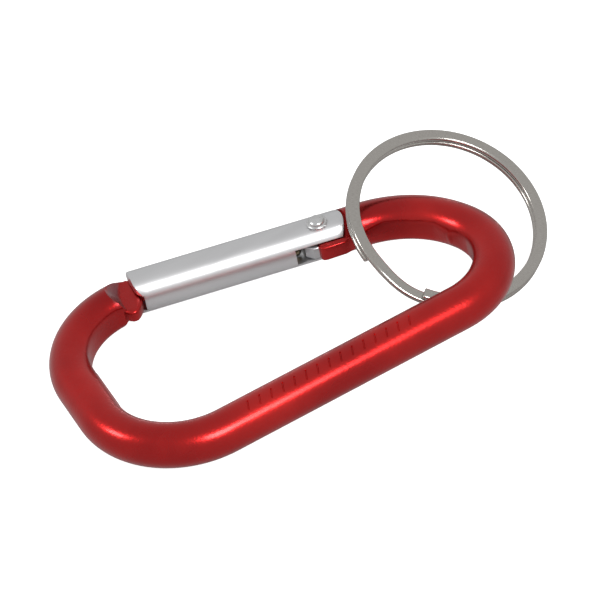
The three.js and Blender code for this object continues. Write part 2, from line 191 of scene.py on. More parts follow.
floor_mesh.from_pydata(corners, [], [(0, 1, 2, 3)])
floor = finish_object("floor", floor_mesh, floor_material)


# ---- Carabiner body ----
# One aluminium rod, bent into a D and anodised clear red over a satin surface.
# Its nose is pressed to a tongue and its other end to a knuckle, which the gate's ears close over.

ROD_RADIUS = 2.85
NOSE_CORNER = Vector((2.1, 31.65))
SPINE_NOSE_CORNER = Vector((0, 0))
SPINE_HINGE_CORNER = Vector((59.45, 0))
HINGE_CORNER = Vector((51.55, 19.8))
NOSE_BEND = 11
SPINE_NOSE_BEND = 11.45
SPINE_HINGE_BEND = 9.2
END_STRAIGHT = 0.3
NOSE_STRAIGHT = 0.1
HINGE_STRAIGHT = 5.5
GATE_RADIUS = 2.85
GATE_AXIS_OUTSET = 0.45
GATE_TAIL_RADIUS = 3.4
SHOULDER_RADIUS = 3.75
TONGUE_THICKNESS = 1.8
SLOT_HEIGHT = 2.4
NOSE_SLOT_DEPTH = 4.6
NOSE_WEB_SETBACK = 1.1
NOSE_WEB_THICKNESS = 1.4
KNUCKLE_RADIUS = 2.5
CAM_CORNER_RADIUS = 2.9
RIVET_RADIUS = 0.75
RIVET_HOLE_RADIUS = 0.85

along_limb = (HINGE_CORNER - NOSE_CORNER).normalized()
out_of_limb = Vector((-along_limb.y, along_limb.x))


def half_corner_tangent(before, corner, after):
    to_before = (before - corner).normalized()
    to_after = (after - corner).normalized()
    return math.tan(math.acos(to_before.dot(to_after)) / 2)


hinge_end = (HINGE_CORNER - SPINE_HINGE_CORNER).length
spine_hinge_tangent = half_corner_tangent(SPINE_NOSE_CORNER, SPINE_HINGE_CORNER, HINGE_CORNER)
spine_hinge_setback = SPINE_HINGE_BEND / spine_hinge_tangent
hinge_setback = hinge_end - spine_hinge_setback - END_STRAIGHT
HINGE_BEND = hinge_setback * half_corner_tangent(NOSE_CORNER, HINGE_CORNER, SPINE_HINGE_CORNER)
nose_end = NOSE_BEND / half_corner_tangent(HINGE_CORNER, NOSE_CORNER, SPINE_NOSE_CORNER) + NOSE_STRAIGHT
pivot_along = (HINGE_CORNER - NOSE_CORNER).length - hinge_setback - HINGE_STRAIGHT
gate_reach = pivot_along - nose_end


def at_limb(along, outward, z):
    """A place measured along the straight limb from the nose corner, in the row frame."""
    flat = NOSE_CORNER + along_limb * along + out_of_limb * outward
    return at_spine(flat.x, flat.y, z)


pivot = Vector(joints["gate_hinge"]["pos_m"])
to_nose = Vector(joints["plunger_slide"]["axis"])
gate_x = -to_nose.normalized()
gate_y = Vector((-gate_x.y, gate_x.x, 0))


def at_gate(along, outward, z):
    """A place measured from the gate's pivot, along the gate towards its tail, in the row frame."""
    return pivot + (gate_x * along + gate_y * outward) * MM + Vector((0, 0, z * MM))


def bent_line(points, radii, spacing):
    """Points and headings along straights joined by round bends, about one spacing apart."""
    stations = []

    def straight(start, end):
        count = max(1, round((end - start).length / spacing))
        heading = (end - start).normalized()
        stations.extend((start.lerp(end, i / count), heading, 0.0) for i in range(count))

    start = points[0]
    for before, corner, after, radius in zip(points, points[1:], points[2:], radii):
        to_before = (before - corner).normalized()
        to_after = (after - corner).normalized()
        setback = radius / half_corner_tangent(before, corner, after)
        first = corner + to_before * setback
        straight(start, first)
        side = 1 if to_before.x * to_after.y - to_before.y * to_after.x < 0 else -1
        turn = side * (math.pi - math.acos(to_before.dot(to_after)))
        heading = -to_before
        centre = first + Vector((-heading.y, heading.x)) * side * radius
        count = max(4, round(abs(turn) * radius / spacing))
        for i in range(count):
            angle = turn * i / count
            spin = Matrix.Rotation(angle, 2)
            bend = math.sin(math.pi * i / count)
            stations.append((centre + spin @ (first - centre), spin @ heading, bend))
        start = corner + to_after * setback
    straight(start, points[-1])
    stations.append((points[-1], (points[-1] - start).normalized(), 0.0))
    return stations


def grid_mesh(name, rings):
    """A skin over rings of points, with flat caps at its two ends."""
    sides = len(rings[0])
    count = len(rings)
    vertices = [point for ring in rings for point in ring]
    faces = []
    for i in range(count - 1):
        low, high = i * sides, (i + 1) * sides
        for j in range(sides):
            k = (j + 1) % sides
            faces.append((low + j, low + k, high + k, high + j))
    faces.append(tuple(reversed(range(sides))))
    faces.append(tuple((count - 1) * sides + j for j in range(sides)))
    mesh = bpy.data.meshes.new(name)
    mesh.from_pydata(vertices, [], faces)
    return outward_faces(mesh)


def outward_faces(mesh):
    work = bmesh.new()
    work.from_mesh(mesh)
    bmesh.ops.recalc_face_normals(work, faces=work.faces)
    work.to_mesh(mesh)
    work.free()
    return mesh


def soft_limit(value, limit, softness):
    """The smaller of value and limit, with a rounded change from one to the other."""
    return limit - softness * math.log1p(math.exp((limit - value) / softness))


def rod_mesh():
    """The bent rod, pressed flat on the inside of its bends, with the marks the bending tools left."""
    sides = 72
    outline = [NOSE_CORNER + along_limb * nose_end, NOSE_CORNER, SPINE_NOSE_CORNER,
               SPINE_HINGE_CORNER, HINGE_CORNER, NOSE_CORNER + along_limb * (pivot_along + 1.5)]
    stations = bent_line(outline, [NOSE_BEND, SPINE_NOSE_BEND, SPINE_HINGE_BEND, HINGE_BEND], 0.3)
    tool_marks = [(Vector((5.2, 0.6)), 100, 1.1, 0.09), (Vector((49.3, 17.2)), 78, 1.2, 0.1),
                  (Vector((46.6, 18.6)), 70, 0.5, 0.05), (Vector((1.2, 15)), 110, 0.35, 0.05),
                  (Vector((56.3, 3.4)), 84, 0.3, 0.05)]
    rings = []
    for centre, heading, bend in stations:
        inward = Vector((-heading.y, heading.x))
        pressed = ROD_RADIUS * (1 - 0.16 * min(1, 1.6 * bend))
        ring = []
        for j in range(sides):
            angle = 2 * math.pi * j / sides
            reach = ROD_RADIUS
            for place, at_angle, width, depth in tool_marks:
                away = (centre - place).length_squared
                away += (ROD_RADIUS * (angle - math.radians(at_angle))) ** 2
                reach -= depth * math.exp(-away / width ** 2)
            inner = reach * math.cos(angle)
            if bend > 0:
                inner = soft_limit(inner, pressed, 0.12)
            flat = centre + inward * inner
            ring.append(at_spine(flat.x, flat.y, reach * math.sin(angle)))
        rings.append(ring)
    return grid_mesh("carabiner_body", rings)


def plate_mesh(outline, low, high, place):
    """A flat plate with that outline, between two heights."""
    mesh = bpy.data.meshes.new("plate")
    count = len(outline)
    vertices = [place(x, y, z) for z in (low, high) for x, y in outline]
    faces = [tuple(reversed(range(count))), tuple(range(count, 2 * count))]
    faces += [(j, (j + 1) % count, count + (j + 1) % count, count + j) for j in range(count)]
    mesh.from_pydata(vertices, [], faces)
    return outward_faces(mesh)


def arc(x, y, radius, first, last, steps=24):
    angles = [math.radians(first + (last - first) * i / steps) for i in range(steps + 1)]
    return [(x + radius * math.cos(a), y + radius * math.sin(a)) for a in angles]


def bevelled(mesh, width, segments=3, angle=30):
    """That mesh with its sharp edges rounded."""
    piece = finish_object("bevelling", mesh)
    bevel = piece.modifiers.new("edge", "BEVEL")
    bevel.width = width * MM
    bevel.segments = segments
    bevel.limit_method = "ANGLE"
    bevel.angle_limit = math.radians(angle)
    return settled(piece)


def settled(piece):
    """The piece's mesh with its modifiers applied. The piece itself is removed."""
    shape = piece.evaluated_get(bpy.context.evaluated_depsgraph_get())
    mesh = bpy.data.meshes.new_from_object(shape)
    bpy.data.objects.remove(piece)
    return mesh


def worked(mesh, *steps):
    """A mesh after boolean steps, each ("DIFFERENCE", "UNION" or "INTERSECT", other mesh)."""
    for operation, other in steps:
        piece = finish_object("worked", mesh)
        tool = finish_object("tool", other)
        cut = piece.modifiers.new("work", "BOOLEAN")
        cut.operation = operation
        cut.solver = "EXACT"
        cut.object = tool
        mesh = settled(piece)
        bpy.data.objects.remove(tool)
    return mesh


def smoothed(mesh, angle=32):
    mesh.polygons.foreach_set("use_smooth", [True] * len(mesh.polygons))
    mesh.set_sharp_from_angle(angle=math.radians(angle))
    return mesh


def joined(*meshes):
    work = bmesh.new()
    for mesh in meshes:
        work.from_mesh(mesh)
    together = bpy.data.meshes.new("joined")
    work.to_mesh(together)
    work.free()
    return together


WELD_DISTANCE = 0.002


def welded(mesh):
    """That mesh with its nearly coincident points made one, so that the cuts leave no pinholes."""
    work = bmesh.new()
    work.from_mesh(mesh)
    bmesh.ops.remove_doubles(work, verts=work.verts, dist=WELD_DISTANCE * MM)
    work.to_mesh(mesh)
    work.free()
    return mesh


# Each row is a circle of the dish: its rise over the tongue, its middle along and outward, its radius.
DISH_ROWS = [(0.0, 17.6, -0.9, 6.5), (0.3, 17.5, -0.7, 6.75), (1.1, 17.4, -0.2, 7.2),
             (1.75, 17.3, 0.3, 7.75), (3.0, 17.2, 0.6, 8.4)]


def dish_mesh(side):
    """The cutter that leaves the pressed dish beside the tongue, on the upper or the lower side."""
    floor_at = TONGUE_THICKNESS / 2
    rings = []
    for rise, x, y, radius in DISH_ROWS:
        ring = [at_limb(px, py, side * (floor_at + rise)) for px, py in arc(x, y, radius, 0, 358, 179)]
        rings.append(ring)
    return grid_mesh("dish", rings)


def shoulder_mesh(side):
    rim = arc(0, 0, SHOULDER_RADIUS, 0, 357, 119)
    low, high = sorted((side * TONGUE_THICKNESS / 2, side * 4))
    return plate_mesh(rim, low, high, at_gate)


def knuckle_outline():
    cam = math.degrees(math.acos(KNUCKLE_RADIUS / CAM_CORNER_RADIUS))
    corner = CAM_CORNER_RADIUS * math.sin(math.radians(cam))
    tail = SHOULDER_RADIUS + 1
    points = [(tail, KNUCKLE_RADIUS)]
    points += arc(0, 0, KNUCKLE_RADIUS, 90, 180)
    points += [(-KNUCKLE_RADIUS, -corner), (-corner, -KNUCKLE_RADIUS)]
    points += [(SHOULDER_RADIUS, -KNUCKLE_RADIUS), (tail, -1.2)]
    return points


def pin_mesh(radius, low, high, sides=48):
    return plate_mesh(arc(0, 0, radius, 0, 360 - 360 / sides, sides - 1), low, high, at_gate)


STAMP_START = 15.6
STAMP_END = 38.9
STAMP_COUNT = 15
STAMP_WIRE = 0.12
STAMP_SLANT = -24


def stamp_tree():
    """Geometry Nodes: short slanted strokes in a row along a rod, each bent to the rod's own curve."""
    tree = bpy.data.node_groups.new("stamped_strokes", "GeometryNodeTree")
    for name, kind in (("Rod Radius", "NodeSocketFloat"), ("Stroke Radius", "NodeSocketFloat"),
                       ("Start", "NodeSocketVector"), ("Spacing", "NodeSocketVector"),
                       ("Count", "NodeSocketInt"), ("Slant", "NodeSocketFloat")):
        tree.interface.new_socket(name, in_out="INPUT", socket_type=kind)
    tree.interface.new_socket("Geometry", in_out="OUTPUT", socket_type="NodeSocketGeometry")
    add, link = tree.nodes.new, tree.links.new
    given, result = add("NodeGroupInput"), add("NodeGroupOutput")
    stroke = add("GeometryNodeCurveArc")
    stroke.inputs["Resolution"].default_value = 9
    stroke.inputs["Start Angle"].default_value = math.radians(88)
    stroke.inputs["Sweep Angle"].default_value = math.radians(30)
    link(given.outputs["Rod Radius"], stroke.inputs["Radius"])
    stand = add("GeometryNodeTransform")
    stand.inputs["Rotation"].default_value = (math.radians(90), 0, math.radians(90))
    link(stroke.outputs["Curve"], stand.inputs["Geometry"])
    section = add("GeometryNodeCurvePrimitiveCircle")
    section.inputs["Resolution"].default_value = 10
    link(given.outputs["Stroke Radius"], section.inputs["Radius"])
    wire = add("GeometryNodeCurveToMesh")
    wire.inputs["Fill Caps"].default_value = True
    link(stand.outputs["Geometry"], wire.inputs["Curve"])
    link(section.outputs["Curve"], wire.inputs["Profile Curve"])
    row = add("GeometryNodeMeshLine")
    link(given.outputs["Count"], row.inputs["Count"])
    link(given.outputs["Start"], row.inputs["Start Location"])
    link(given.outputs["Spacing"], row.inputs["Offset"])
    lean = add("ShaderNodeCombineXYZ")
    link(given.outputs["Slant"], lean.inputs["Z"])
    copies = add("GeometryNodeInstanceOnPoints")
    link(row.outputs["Mesh"], copies.inputs["Points"])
    link(wire.outputs["Mesh"], copies.inputs["Instance"])
    link(lean.outputs["Vector"], copies.inputs["Rotation"])
    real = add("GeometryNodeRealizeInstances")
    link(copies.outputs["Instances"], real.inputs["Geometry"])
    coat = add("GeometryNodeSetMaterial")
    link(real.outputs["Geometry"], coat.inputs["Geometry"])
    link(coat.outputs["Geometry"], result.inputs["Geometry"])
    return tree


def from_tree(name, tree, **values):
    """The mesh that a Geometry Nodes tree makes with those inputs."""
    piece = finish_object(name, bpy.data.meshes.new(name))
    modifier = piece.modifiers.new(name, "NODES")
    modifier.node_group = tree
    for item in tree.interface.items_tree:
        if item.in_out == "INPUT" and item.name.replace(" ", "_").lower() in values:
            modifier[item.identifier] = values[item.name.replace(" ", "_").lower()]
    return settled(piece)


def grain_group():
    """A fine satin surface: an uneven tone and a height, from noise drawn out along one direction."""
    group = bpy.data.node_groups.new("satin_grain", "ShaderNodeTree")
    for name, kind, value in (("Vector", "NodeSocketVector", None),
                              ("Fine Scale", "NodeSocketFloat", 900.0),
                              ("Broad Scale", "NodeSocketFloat", 60.0),
                              ("Fleck Amount", "NodeSocketFloat", 0.0)):
        socket = group.interface.new_socket(name, in_out="INPUT", socket_type=kind)
        if value is not None:
            socket.default_value = value
    for name in ("Tone", "Height", "Flecks"):
        group.interface.new_socket(name, in_out="OUTPUT", socket_type="NodeSocketFloat")
    add, link = group.nodes.new, group.links.new
    given, result = add("NodeGroupInput"), add("NodeGroupOutput")
    fine, broad, fleck = add("ShaderNodeTexNoise"), add("ShaderNodeTexNoise"), add("ShaderNodeTexVoronoi")
    fine.inputs["Detail"].default_value = 3
    broad.inputs["Detail"].default_value = 4
    for noise, scale in ((fine, "Fine Scale"), (broad, "Broad Scale"), (fleck, "Fine Scale")):
        link(given.outputs["Vector"], noise.inputs["Vector"])
        link(given.outputs[scale], noise.inputs["Scale"])
    link(broad.outputs["Fac"], result.inputs["Tone"])
    link(fine.outputs["Fac"], result.inputs["Height"])
    rare = add("ShaderNodeMath")
    rare.operation = "LESS_THAN"
    rare.inputs[1].default_value = 0.13
    link(fleck.outputs["Distance"], rare.inputs[0])
    amount = add("ShaderNodeMath")
    amount.operation = "MULTIPLY"
    link(rare.outputs[0], amount.inputs[0])
    link(given.outputs["Fleck Amount"], amount.inputs[1])
    link(amount.outputs[0], result.inputs["Flecks"])
    return group


satin_grain = grain_group()


def place_grain(nodes, links, fine, broad, flecks=0.0, stretch=(1, 1, 1), turn=0.0, source=None):
    """The grain group on Object coordinates, turned about Z and drawn out by stretch."""
    where = nodes.new("ShaderNodeTexCoord")
    mapping = nodes.new("ShaderNodeMapping")
    mapping.inputs["Rotation"].default_value = (0, 0, turn)
    mapping.inputs["Scale"].default_value = stretch
    links.new(where.outputs[source or "Object"], mapping.inputs["Vector"])
    grain = nodes.new("ShaderNodeGroup")
    grain.node_tree = satin_grain
    grain.inputs["Fine Scale"].default_value = fine
    grain.inputs["Broad Scale"].default_value = broad
    grain.inputs["Fleck Amount"].default_value = flecks
    links.new(mapping.outputs["Vector"], grain.inputs["Vector"])
    return grain


def ranged(nodes, links, value, low, high):
    """A value from 0 to 1 brought between low and high."""
    change = nodes.new("ShaderNodeMapRange")
    change.inputs["From Min"].default_value = 0.3
    change.inputs["From Max"].default_value = 0.7
    change.inputs["To Min"].default_value = low
    change.inputs["To Max"].default_value = high
    links.new(value, change.inputs["Value"])
    return change.outputs["Result"]


def two_tones(nodes, links, value, first, second):
    mix = nodes.new("ShaderNodeMix")
    mix.data_type = "RGBA"
    mix.inputs["A"].default_value = (*first, 1)
    mix.inputs["B"].default_value = (*second, 1)
    links.new(value, mix.inputs["Factor"])
    return mix.outputs["Result"]


def toned(nodes, links, grain, shader, dark, light, output="Tone"):
    """The base colour, between dark and light by the grain."""
    tone = ranged(nodes, links, grain.outputs[output], 0, 1)
    links.new(two_tones(nodes, links, tone, dark, light), shader.inputs["Base Color"])


def raised(nodes, links, height, strength, distance, into):
    bump = nodes.new("ShaderNodeBump")
    bump.inputs["Strength"].default_value = strength
    bump.inputs["Distance"].default_value = distance
    links.new(height, bump.inputs["Height"])
    links.new(bump.outputs["Normal"], into)


def near(nodes, links, place, radius, softness):
    """A mask, 1 in a ball round that place and 0 outside it."""
    where = nodes.new("ShaderNodeTexCoord")
    apart = nodes.new("ShaderNodeVectorMath")
    apart.operation = "DISTANCE"
    apart.inputs[1].default_value = place
    links.new(where.outputs["Object"], apart.inputs[0])
    edge = nodes.new("ShaderNodeMapRange")
    edge.inputs["From Min"].default_value = (radius - softness) * MM
    edge.inputs["From Max"].default_value = (radius + softness) * MM
    edge.inputs["To Min"].default_value = 1
    edge.inputs["To Max"].default_value = 0
    links.new(apart.outputs["Value"], edge.inputs["Value"])
    return edge.outputs["Result"]


def ahead(nodes, links, place, heading, softness):
    """A mask, 1 on the side of that place to which the heading points."""
    where = nodes.new("ShaderNodeTexCoord")
    project = nodes.new("ShaderNodeVectorMath")
    project.operation = "DOT_PRODUCT"
    project.inputs[1].default_value = heading
    links.new(where.outputs["Object"], project.inputs[0])
    edge = nodes.new("ShaderNodeMapRange")
    edge.inputs["From Min"].default_value = place.dot(heading) - softness * MM
    edge.inputs["From Max"].default_value = place.dot(heading) + softness * MM
    links.new(project.outputs["Value"], edge.inputs["Value"])
    return edge.outputs["Result"]


def calculated(nodes, links, operation, first, second):
    step = nodes.new("ShaderNodeMath")
    step.operation = operation
    for socket, value in zip(step.inputs, (first, second)):
        if isinstance(value, (int, float)):
            socket.default_value = value
        else:
            links.new(value, socket)
    return step.outputs[0]


def blended(nodes, links, mask, below, above):
    """One colour laid over another by a mask; each is a colour or a socket."""
    mix = nodes.new("ShaderNodeMix")
    mix.data_type = "RGBA"
    links.new(mask, mix.inputs["Factor"])
    for name, colour in (("A", below), ("B", above)):
        if isinstance(colour, tuple):
            mix.inputs[name].default_value = (*colour, 1)
        else:
            links.new(colour, mix.inputs[name])
    return mix.outputs["Result"]


def red_anodised():
    """Clear red anodising, with a painted reflection laid as a greyish band round the sloped wall of the
    pressed dish, and cut away to bare metal on the knuckle.
    """
    material, nodes, links, shader = principled("red_anodised")
    grain = place_grain(nodes, links, 2600, 90, 1.0)
    tone = ranged(nodes, links, grain.outputs["Tone"], 0, 1)
    red = two_tones(nodes, links, tone, (0.42, 0.006, 0.007), (0.65, 0.019, 0.017))
    # Painted reflection: a greyish-mauve band on the sloped wall round the dish, near the outer upper side,
    # standing in for the bright surround mirrored there.
    rim = calculated(nodes, links, "SUBTRACT", near(nodes, links, at_limb(17.4, -0.3, 0), 8.0, 0.15),
                     near(nodes, links, at_limb(17.55, -0.8, 0), 6.75, 0.12))
    rim = calculated(nodes, links, "MULTIPLY", rim, near(nodes, links, at_limb(10.2, 0.6, 1.8), 2.7, 0.7))
    red = blended(nodes, links, calculated(nodes, links, "MULTIPLY", rim, 0.8), red, (0.30, 0.10, 0.11))
    bare = calculated(nodes, links, "MULTIPLY", near(nodes, links, pivot, 3.4, 0.1),
                      ahead(nodes, links, at_gate(-0.74, 0, 0), -gate_x, 0.04))
    links.new(blended(nodes, links, bare, red, (0.62, 0.62, 0.63)), shader.inputs["Base Color"])
    links.new(ranged(nodes, links, grain.outputs["Tone"], 0.25, 0.32), shader.inputs["Roughness"])
    shader.inputs["Metallic"].default_value = 1.0
    covered = calculated(nodes, links, "SUBTRACT", 1.0, bare)
    links.new(calculated(nodes, links, "MULTIPLY", covered, 0.5), shader.inputs["Coat Weight"])
    shader.inputs["Coat Roughness"].default_value = 0.17
    shader.inputs["Coat IOR"].default_value = 1.5
    raised(nodes, links, grain.outputs["Height"], 0.35, 0.00006, shader.inputs["Normal"])
    return material


HALF_TONGUE = TONGUE_THICKNESS / 2
NOSE_PAD = [(9.8, 1.2), (10.0, -1.6), (10.5, -2.4), (10.95, -2.85), (11.35, -3.25), (11.75, -3.52),
            (12.15, -3.6), (12.5, -3.5), (12.85, -3.18), (13.2, -2.7), (13.55, -2.05), (13.8, -1.35),
            (13.9, 0), (13.9, 2.6), (9.8, 2.6)]
nose_pad = bevelled(plate_mesh(NOSE_PAD, -HALF_TONGUE, HALF_TONGUE, at_limb), 0.4, 5, 40)
web_top = GATE_AXIS_OUTSET - GATE_RADIUS + NOSE_WEB_THICKNESS
tongue_start = -gate_reach - 1.6
tongue_end = -gate_reach + NOSE_SLOT_DEPTH - 0.6
TONGUE = [(tongue_start, web_top + 0.3), (tongue_end - 0.6, web_top + 0.3), (tongue_end, web_top + 0.9),
          (tongue_end, 2.0), (tongue_end - 0.6, 2.6), (-gate_reach + 0.6, 2.3), (tongue_start, 1.9)]
nose_tongue = bevelled(plate_mesh(TONGUE, -HALF_TONGUE, HALF_TONGUE, at_gate), 0.12)
knuckle = bevelled(plate_mesh(knuckle_outline(), -HALF_TONGUE, HALF_TONGUE, at_gate), 0.16)
HINGE_PAD = [(-0.5, -1.7), (-0.7, -2.7), (-0.45, -3.05), (0.1, -3.15), (2.6, -3.05), (3.6, -2.75),
             (4.4, -2.2), (4.9, -1.2), (4.9, 0), (1.0, 0)]
HALF_HINGE_PAD = 1.08
hinge_pad = bevelled(plate_mesh(HINGE_PAD, -HALF_HINGE_PAD, HALF_HINGE_PAD, at_gate), 0.34, 5, 25)
stroke_spacing = (STAMP_END - STAMP_START) / (STAMP_COUNT - 1)
strokes = from_tree("stamped_strokes", stamp_tree(),
                    rod_radius=ROD_RADIUS * MM, stroke_radius=STAMP_WIRE * MM,
                    start=at_spine(STAMP_START, 0, 0), spacing=(stroke_spacing * MM, 0, 0),
                    count=STAMP_COUNT, slant=math.radians(STAMP_SLANT))
ROD_TRIM = 0.45
CUTTER_SIDE = 4
trim_from = nose_end - ROD_TRIM
trim_to = nose_end + 2
TRIM = [(trim_from, -CUTTER_SIDE), (trim_to, -CUTTER_SIDE), (trim_to, CUTTER_SIDE), (trim_from, CUTTER_SIDE)]
nose_trim = plate_mesh(TRIM, -CUTTER_SIDE, CUTTER_SIDE, at_limb)
body_mesh = worked(
    rod_mesh(),
    ("DIFFERENCE", nose_trim),
    ("DIFFERENCE", joined(dish_mesh(1), dish_mesh(-1), shoulder_mesh(1), shoulder_mesh(-1), strokes)),
    ("UNION", nose_pad), ("UNION", nose_tongue), ("UNION", knuckle), ("UNION", hinge_pad),
    ("DIFFERENCE", pin_mesh(RIVET_HOLE_RADIUS, -CUTTER_SIDE, CUTTER_SIDE)))
body = finish_object("carabiner_body_rod", smoothed(welded(body_mesh)), red_anodised())
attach(body, "body")
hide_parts("carabiner_body")


# ---- Gate ----
# A plain aluminium rod, drilled along its middle for the spring and slotted at both ends.
# The slots leave an upper and a lower ear at each end: over the nose's tongue and over the knuckle.

BORE_RADIUS = 1.7
BORE_END_WALL = 2.5
HINGE_SLOT_REACH = 3.75
NOSE_LIP = 0.4
NOSE_EDGE = 0.28


def bar_mesh(profile, sides=96):
    """A turned bar along the gate's axis, from (along, radius) pairs."""
    rings = []
    for x, radius in profile:
        ring = []
        for j in range(sides):
            angle = 2 * math.pi * j / sides
            ring.append(at_gate(x, GATE_AXIS_OUTSET + radius * math.cos(angle), radius * math.sin(angle)))
        rings.append(ring)
    return grid_mesh("bar", rings)


def box_mesh(low_x, high_x, low_y, high_y, low_z, high_z):
    outline = [(low_x, low_y), (high_x, low_y), (high_x, high_y), (low_x, high_y)]
    return plate_mesh(outline, low_z, high_z, at_gate)


def rounded_end(x, radius, edge, inward, steps=5):
    """Profile points round the end edge of a bar; inward is +1 or -1 along the bar."""
    points = []
    for i in range(steps + 1):
        angle = math.pi / 2 * i / steps
        points.append((x + inward * edge * (1 - math.sin(angle)), radius - edge * (1 - math.cos(angle))))
    return points


def gate_mesh():
    side = GATE_RADIUS + 2
    half = SLOT_HEIGHT / 2
    nose = -gate_reach
    lip = nose - NOSE_LIP
    steps = 24
    bar_start = lip + 0.6
    bar_length = GATE_TAIL_RADIUS + 1 - bar_start
    profile = rounded_end(lip, GATE_RADIUS, NOSE_EDGE, 1)[::-1]
    profile += [(bar_start + bar_length * i / steps, GATE_RADIUS) for i in range(steps + 1)]
    slanted_nose = [(lip - 1, side), (lip - 0.1, GATE_RADIUS), (nose - 0.05, -0.9), (nose + 0.1, -1.35),
                    (nose + 0.4, -1.8), (nose + 0.85, -2.2)]
    plan = [(nose + 1.15, -side), (0, -side), *arc(0, 0, GATE_TAIL_RADIUS, -90, 90, 48), (0, side),
            *slanted_nose]
    bore_start = nose + NOSE_SLOT_DEPTH + BORE_END_WALL
    web = GATE_AXIS_OUTSET - GATE_RADIUS + NOSE_WEB_THICKNESS
    gate_rod = worked(
        bar_mesh(sorted(profile)),
        ("INTERSECT", plate_mesh(plan, -side, side, at_gate)),
        ("DIFFERENCE", bar_mesh([(bore_start, BORE_RADIUS), (-KNUCKLE_RADIUS, BORE_RADIUS)], 48)),
        ("DIFFERENCE", box_mesh(nose - 2, nose + NOSE_SLOT_DEPTH, web, side, -half, half)),
        ("DIFFERENCE", box_mesh(nose - 2, nose + NOSE_WEB_SETBACK - 0.2, -side, side, -half, half)),
        ("DIFFERENCE", box_mesh(-HINGE_SLOT_REACH, GATE_TAIL_RADIUS + 2, -side, side, -half, half)),
        ("DIFFERENCE", pin_mesh(RIVET_HOLE_RADIUS, -CUTTER_SIDE, CUTTER_SIDE)))
    return bevelled(gate_rod, 0.1, 2, 40)


def drawn_aluminium(name, light, dark, low, high, stretch):
    """Bare aluminium with fine lines drawn along the gate."""
    material, nodes, links, shader = principled(name)
    turn = -math.atan2(gate_x.y, gate_x.x)
    grain = place_grain(nodes, links, 2200, 260, 0.0, stretch, turn)
    toned(nodes, links, grain, shader, dark, light)
    links.new(ranged(nodes, links, grain.outputs["Tone"], low, high), shader.inputs["Roughness"])
    shader.inputs["Metallic"].default_value = 1.0
    raised(nodes, links, grain.outputs["Height"], 0.3, 0.00002, shader.inputs["Normal"])
    return material


gate = finish_object("gate_rod", smoothed(gate_mesh(), 40),
                     drawn_aluminium("gate_aluminium", (0.83, 0.83, 0.84), (0.74, 0.74, 0.75), 0.3, 0.38,
                                     (0.12, 1, 1)))
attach(gate, "gate")
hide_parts("gate")


# ---- Hinge rivet ----
# A soft aluminium rivet through the gate's ears and the knuckle.
# Its upper end is set to a low button head. Its lower end stops just inside the lower ear.

RIVET_HEAD_RADIUS = 1.36
RIVET_HEAD_HEIGHT = 0.82
RIVET_FLANGE = 0.2
RIVET_LOWER_INSET = 0.3


def rivet_mesh():
    under = GATE_RADIUS + 0.01
    head = [(RIVET_HEAD_RADIUS - 0.16, 0.0), (RIVET_HEAD_RADIUS - 0.02, 0.05), (RIVET_HEAD_RADIUS, 0.13),
            (RIVET_HEAD_RADIUS - 0.06, RIVET_FLANGE), (RIVET_HEAD_RADIUS - 0.2, RIVET_FLANGE + 0.07)]
    dome_radius = RIVET_HEAD_RADIUS - 0.26
    dome_base = RIVET_FLANGE + 0.08
    for i in range(11):
        angle = math.pi / 2 * i / 11
        squared = math.cos(angle) ** 0.8
        head.append((dome_radius * squared, dome_base + (RIVET_HEAD_HEIGHT - dome_base) * math.sin(angle)))
    head.append((0.05, RIVET_HEAD_HEIGHT))
    upper = [(radius, under + rise) for radius, rise in head]
    flush = under - RIVET_LOWER_INSET
    lower = [(0.05, -flush), (RIVET_RADIUS - 0.05, -flush), (RIVET_RADIUS, -flush + 0.05)]
    profile = lower + [(RIVET_RADIUS, under)] + upper
    sides = 64
    rings = []
    for radius, z in profile:
        ring = []
        for j in range(sides):
            angle = 2 * math.pi * j / sides
            uneven = 1 + 0.018 * math.sin(2 * angle + 1.1) + 0.012 * math.sin(3 * angle)
            reach = radius * (uneven if radius > RIVET_RADIUS else 1)
            ring.append(at_gate(reach * math.cos(angle), reach * math.sin(angle), z))
        rings.append(ring)
    return grid_mesh("rivet", rings)


def hammered_aluminium():
    """Bare aluminium set with a punch: bright, with a few soft dents."""
    material, nodes, links, shader = principled("rivet_aluminium")
    grain = place_grain(nodes, links, 1500, 1100)
    toned(nodes, links, grain, shader, (0.7, 0.7, 0.7), (0.82, 0.82, 0.82))
    links.new(ranged(nodes, links, grain.outputs["Height"], 0.2, 0.36), shader.inputs["Roughness"])
    shader.inputs["Metallic"].default_value = 1.0
    raised(nodes, links, grain.outputs["Tone"], 0.5, 0.00012, shader.inputs["Normal"])
    return material


rivet = finish_object("hinge_rivet_set", smoothed(rivet_mesh(), 50), hammered_aluminium())
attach(rivet, "body")
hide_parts("hinge_rivet")


# ---- Plunger and spring ----
# A turned brass plunger, coloured nearly black as painted shade for the dark bore it sits in, presses on the
# knuckle's flat.
# A coil spring of drawn steel wire lies behind it, and is as long as when the gate is open.
# Both lie in the gate's bore; the plunger slides back as the gate opens.

PLUNGER_RADIUS = 1.5
PLUNGER_FRONT = -2.8
PLUNGER_LENGTH = 3.2
PLUNGER_STROKE = 0.4
SPRING_WIRE_RADIUS = 0.21
SPRING_RADIUS = 1.24
SPRING_TURNS = 8


def plunger_profile():
    back = PLUNGER_FRONT - PLUNGER_LENGTH
    nose = [(PLUNGER_FRONT - 0.5 + 0.5 * math.sin(a), PLUNGER_RADIUS - 0.5 + 0.5 * math.cos(a))
            for a in (math.pi / 2 * i / 6 for i in range(7))]
    tail = [(back, PLUNGER_RADIUS - 0.12), (back + 0.12, PLUNGER_RADIUS)]
    return [(back, 0.05), *tail, *nose, (PLUNGER_FRONT, 0.05)]


